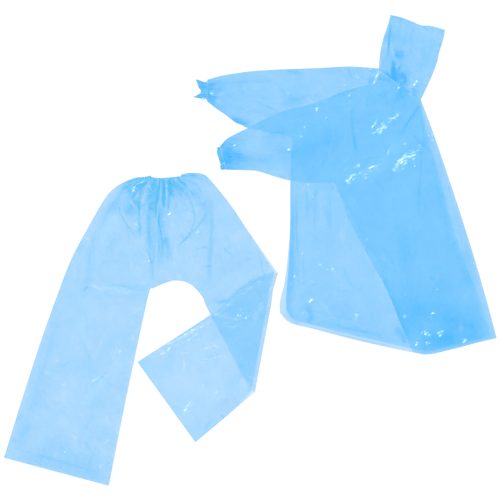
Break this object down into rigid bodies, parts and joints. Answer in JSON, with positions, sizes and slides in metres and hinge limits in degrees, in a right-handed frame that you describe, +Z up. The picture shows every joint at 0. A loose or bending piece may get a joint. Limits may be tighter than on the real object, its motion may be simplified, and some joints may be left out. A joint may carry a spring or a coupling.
{
  "type": "rain suit",
  "caption": "Thin film rain suit laid flat: a hooded coat with gathered cuffs, its left side folded over on top, and elastic-waist trousers with a leg folded up.",
  "frame": {"origin": "on the floor, under the centre of the suit's outline seen from above", "axes": "+X to the right and +Y towards the hood, seen from above, and +Z up from the floor"},
  "size_m": [1.724, 1.648, 0.012],
  "materials": {
    "film": "thin see-through light blue polythene film with a soft sheen and fine creases",
    "gathered_film": "the same film, gathered over elastic"
  },
  "bodies": {
    "root": {"coat_back": "film", "coat_front": "film", "coat_right_sleeve_back": "film", "coat_right_sleeve_front": "film", "coat_left_sleeve_front": "film", "coat_left_sleeve_back": "film", "coat_right_cuff": "gathered_film", "coat_left_cuff": "gathered_film", "hood_right_side": "film", "hood_left_side": "film", "trousers_right_leg_back": "film", "trousers_right_leg_front": "film", "trousers_left_leg_back": "film", "trousers_left_leg_front": "film", "trousers_waist": "gathered_film"}
  },
  "joints": []
}
